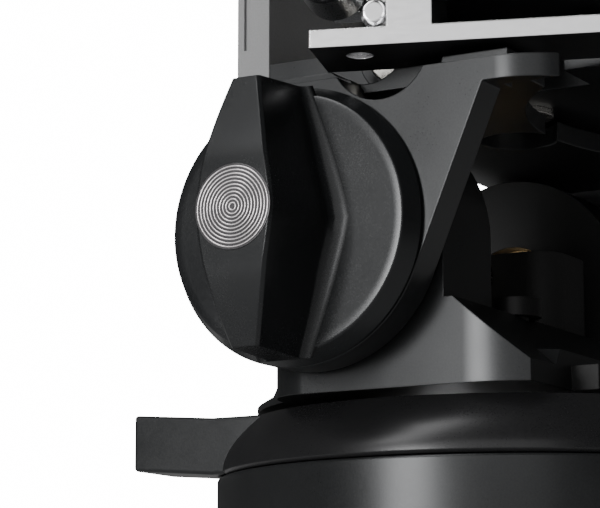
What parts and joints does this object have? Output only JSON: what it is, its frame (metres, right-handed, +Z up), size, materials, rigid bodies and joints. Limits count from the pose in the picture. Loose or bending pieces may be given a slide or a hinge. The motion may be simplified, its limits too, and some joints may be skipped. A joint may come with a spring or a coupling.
{
  "type": "alt azimuth mount head",
  "caption": "Compact two-axis mount head: turning pedestal on a round base with a lever lock, tilting cradle with a side drag knob, and a swivelling quick-release clamp.",
  "frame": {"origin": "centre of the underside, at the mouth of the tripod socket", "axes": "+Z up along the pan axis; the tilt axis runs along X with the drag knob on -X; the front faces -Y"},
  "size_m": [0.0839, 0.067, 0.086],
  "materials": {
    "black_anodised": "satin black anodised",
    "gloss_black": "smooth black, semi-gloss",
    "bright_alloy": "bright satin",
    "steel": "turned",
    "bronze": "machined",
    "friction": "matte",
    "drum_alloy": "turned",
    "pad_rubber": "matte",
    "emblem": "turned rings on a dark disc"
  },
  "bodies": {
    "base": {"base_housing": "black_anodised", "base_cover": "black_anodised", "tripod_socket": "steel", "base_cover_screws": "steel", "pan_bushing": "bronze", "pan_brake_band": "friction"},
    "pan_lock": {"pan_lock_ring": "gloss_black"},
    "azimuth": {"pedestal": "black_anodised", "pan_drum": "drum_alloy", "drum_screws": "steel", "pan_spindle": "steel", "pan_nut": "steel", "pan_spring_washer": "steel", "tilt_bushing_left": "bronze", "tilt_bushing_right": "bronze", "tilt_friction_disc_left": "friction", "tilt_friction_disc_right": "friction", "drag_cartridge": "friction"},
    "altitude": {"cradle": "black_anodised", "tilt_shaft": "steel", "pivot_cap": "black_anodised", "swivel_housing": "black_anodised", "pinch_screw": "steel", "handle_bracket": "black_anodised", "bracket_screws": "steel"},
    "drag_knob": {"tilt_knob": "gloss_black", "knob_insert": "bronze", "knob_emblem": "emblem"},
    "clamp": {"clamp_frame": "bright_alloy", "seat_pads": "pad_rubber", "swivel_bolt": "steel"},
    "jaw": {"moving_jaw": "bright_alloy"},
    "jaw_screw": {"clamp_screw": "steel", "clamp_knob": "gloss_black"},
    "button": {"release_button": "bright_alloy"}
  },
  "joints": [
    {"name": "pan", "type": "hinge", "parent": "base", "child": "azimuth", "pos_m": [0, 0, 0.033], "axis": [0, 0, 1], "continuous": true},
    {"name": "pan_lock_turn", "type": "hinge", "parent": "base", "child": "pan_lock", "pos_m": [0, 0, 0.029], "axis": [0, 0, 1], "range_deg": [-20, 40]},
    {"name": "tilt", "type": "hinge", "parent": "azimuth", "child": "altitude", "pos_m": [0, 0.0073, 0.0496], "axis": [1, 0, 0], "range_deg": [-45, 45]},
    {"name": "drag_knob_turn", "type": "hinge", "parent": "altitude", "child": "drag_knob", "pos_m": [-0.0365, 0.0073, 0.0496], "axis": [1, 0, 0], "range_deg": [-120, 120]},
    {"name": "clamp_swivel", "type": "hinge", "parent": "altitude", "child": "clamp", "pos_m": [0, -0.002, 0.0735], "axis": [0, 0, 1], "range_deg": [-36, 0]},
    {"name": "clamp_screw_turn", "type": "hinge", "parent": "clamp", "child": "jaw_screw", "pos_m": [-0.03249, 0.00416, 0.0754], "axis": [0.9511, 0.309, 0], "range_deg": [0, 1728]},
    {"name": "jaw_slide", "type": "slide", "parent": "clamp", "child": "jaw", "axis": [0.9511, 0.309, 0], "range_m": [0, 0.006]},
    {"name": "button_press", "type": "slide", "parent": "clamp", "child": "button", "axis": [0.9511, 0.309, 0], "range_m": [0, 0.0015], "stiffness_N_per_m": 200}
  ],
  "couplings": [
    {"joint": "clamp_screw_turn", "follows": "jaw_slide", "rad_per_m": 5026.5}
  ]
}
